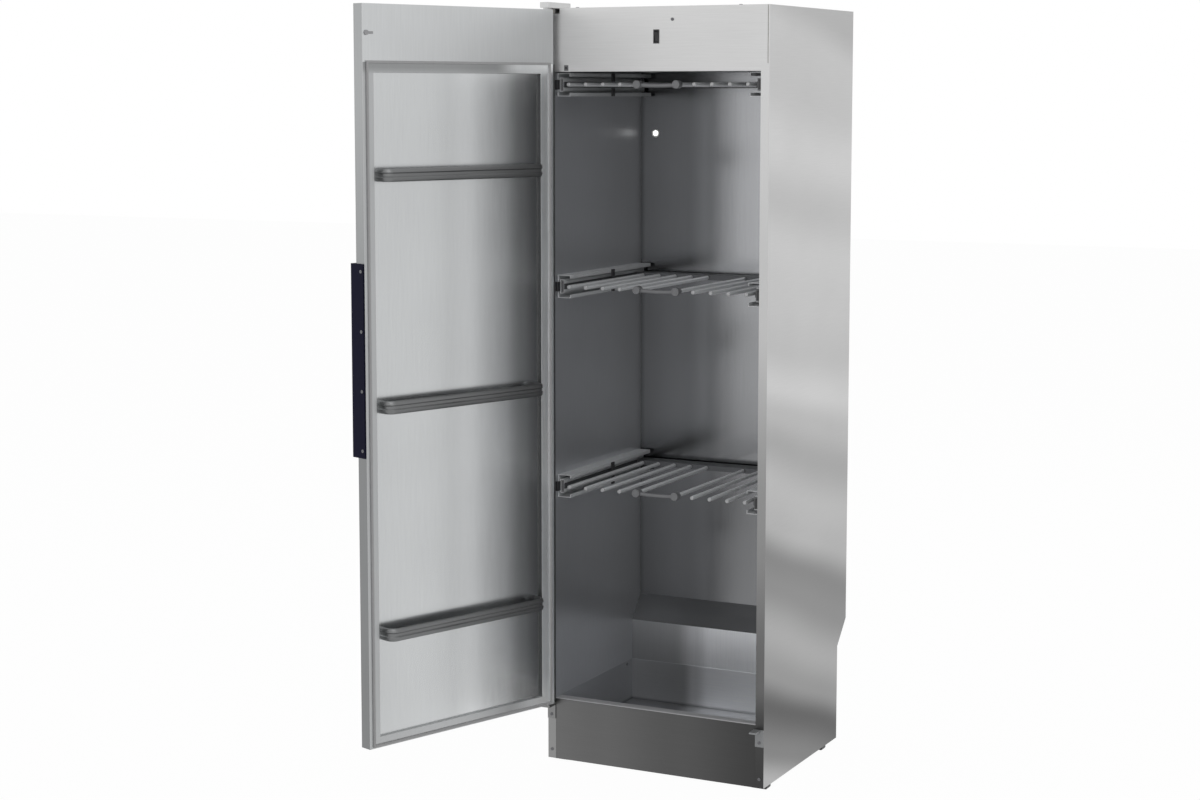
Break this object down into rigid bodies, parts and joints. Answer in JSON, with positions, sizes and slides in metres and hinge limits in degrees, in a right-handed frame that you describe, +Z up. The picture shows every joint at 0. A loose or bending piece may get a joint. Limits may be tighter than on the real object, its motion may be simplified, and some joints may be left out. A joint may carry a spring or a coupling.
{
  "type": "drying cabinet",
  "caption": "Tall free-standing steel drying cabinet with a side-hinged door, pull-out rod racks on telescopic slides and a fan heater behind its header.",
  "frame": {"origin": "on the floor, under the middle of the cabinet body (half its width, and half its depth without the door)", "axes": "+X to the cabinet's right seen from the front, -Y out of the front, +Z up"},
  "size_m": [0.8189, 1.1581, 1.939],
  "materials": {
    "steel_side": "brushed across the height, satin",
    "steel_front": "fine brushed, satin",
    "steel_liner": "fine brushed, satin",
    "steel_rail": "plain drawn steel, satin",
    "steel_dark": "brushed, in shade",
    "galvanised": "zinc-coated, dull",
    "insulation": "mineral wool, never seen",
    "rubber_seal": "matte",
    "black_plastic": "matte",
    "white_plastic": "matte",
    "handle_plastic": "satin",
    "motor_paint": "satin",
    "heater_tube": "oxidised",
    "bronze": "plain bearing bronze"
  },
  "bodies": {
    "cabinet": {"side_panel_left": "steel_side", "side_panel_right": "steel_side", "side_liners": "steel_liner", "back_liner_upper": "steel_liner", "back_liner_lower": "steel_liner", "wall_insulation": "insulation", "back_cover_upper": "galvanised", "back_cover_lower": "galvanised", "floor_tray": "steel_liner", "base_plate": "galvanised", "kick_panel": "steel_dark", "header_panel": "steel_front", "top_panel": "steel_front", "ceiling_plate": "galvanised", "exhaust_collar": "galvanised", "heater": "heater_tube", "fan_housing": "galvanised", "fan_motor": "motor_paint", "thermostat": "motor_paint", "control_box": "galvanised", "cable_gland": "black_plastic", "rocker_housing": "black_plastic", "door_switch": "black_plastic", "glides": "black_plastic", "hinge_arm_top": "steel_front", "hinge_arm_bottom": "steel_front", "hinge_pins": "steel_rail", "door_rest": "steel_front", "vent_bush": "white_plastic", "panel_screws": "steel_rail", "slide_stops": "black_plastic", "wall_brackets": "steel_liner", "outer_slides": "steel_rail"},
    "door": {"door_outer_panel": "steel_front", "door_inner_frame": "steel_dark", "door_inner_panel": "steel_liner", "door_insulation": "insulation", "door_seal": "rubber_seal", "door_rail_top": "steel_dark", "door_rail_middle": "steel_dark", "door_rail_bottom": "steel_dark", "door_handle": "handle_plastic", "handle_screws": "steel_rail", "hinge_bushes": "bronze", "door_magnet": "black_plastic"},
    "fan": {"fan_impeller": "steel_rail"},
    "rocker_key": {"rocker": "black_plastic"},
    "plunger": {"switch_plunger": "black_plastic"},
    "rack_top": {"rack_top": "steel_rail", "rods_top": "steel_rail", "runners_top": "steel_rail"},
    "carrier_top": {"carriers_top": "steel_rail"},
    "rack_middle": {"rack_middle": "steel_rail", "rods_middle": "steel_rail", "runners_middle": "steel_rail"},
    "carrier_middle": {"carriers_middle": "steel_rail"},
    "rack_bottom": {"rack_bottom": "steel_rail", "rods_bottom": "steel_rail", "runners_bottom": "steel_rail"},
    "carrier_bottom": {"carriers_bottom": "steel_rail"}
  },
  "joints": [
    {"name": "door_hinge", "type": "hinge", "parent": "cabinet", "child": "door", "pos_m": [-0.2905, -0.3017, 1], "axis": [0, 0, -1], "range_deg": [-109.5, 70]},
    {"name": "rack_top_slide", "type": "slide", "parent": "cabinet", "child": "rack_top", "axis": [0, -1, 0], "range_m": [0, 0.38]},
    {"name": "carrier_top_slide", "type": "slide", "parent": "cabinet", "child": "carrier_top", "axis": [0, -1, 0], "range_m": [0, 0.19]},
    {"name": "rack_middle_slide", "type": "slide", "parent": "cabinet", "child": "rack_middle", "axis": [0, -1, 0], "range_m": [0, 0.38]},
    {"name": "carrier_middle_slide", "type": "slide", "parent": "cabinet", "child": "carrier_middle", "axis": [0, -1, 0], "range_m": [0, 0.19]},
    {"name": "rack_bottom_slide", "type": "slide", "parent": "cabinet", "child": "rack_bottom", "axis": [0, -1, 0], "range_m": [0, 0.38]},
    {"name": "carrier_bottom_slide", "type": "slide", "parent": "cabinet", "child": "carrier_bottom", "axis": [0, -1, 0], "range_m": [0, 0.19]},
    {"name": "fan_spin", "type": "hinge", "parent": "cabinet", "child": "fan", "pos_m": [0, -0.062, 1.8], "axis": [0, 0, 1], "continuous": true},
    {"name": "rocker_tilt", "type": "hinge", "parent": "cabinet", "child": "rocker_key", "pos_m": [0.002, -0.279, 1.852], "axis": [1, 0, 0], "range_deg": [-16, 0]},
    {"name": "door_switch_press", "type": "slide", "parent": "cabinet", "child": "plunger", "axis": [0, 1, 0], "range_m": [0, 0.0025], "stiffness_N_per_m": 150}
  ],
  "couplings": [
    {"joint": "carrier_top_slide", "follows": "rack_top_slide", "ratio": 0.5},
    {"joint": "carrier_middle_slide", "follows": "rack_middle_slide", "ratio": 0.5},
    {"joint": "carrier_bottom_slide", "follows": "rack_bottom_slide", "ratio": 0.5}
  ]
}
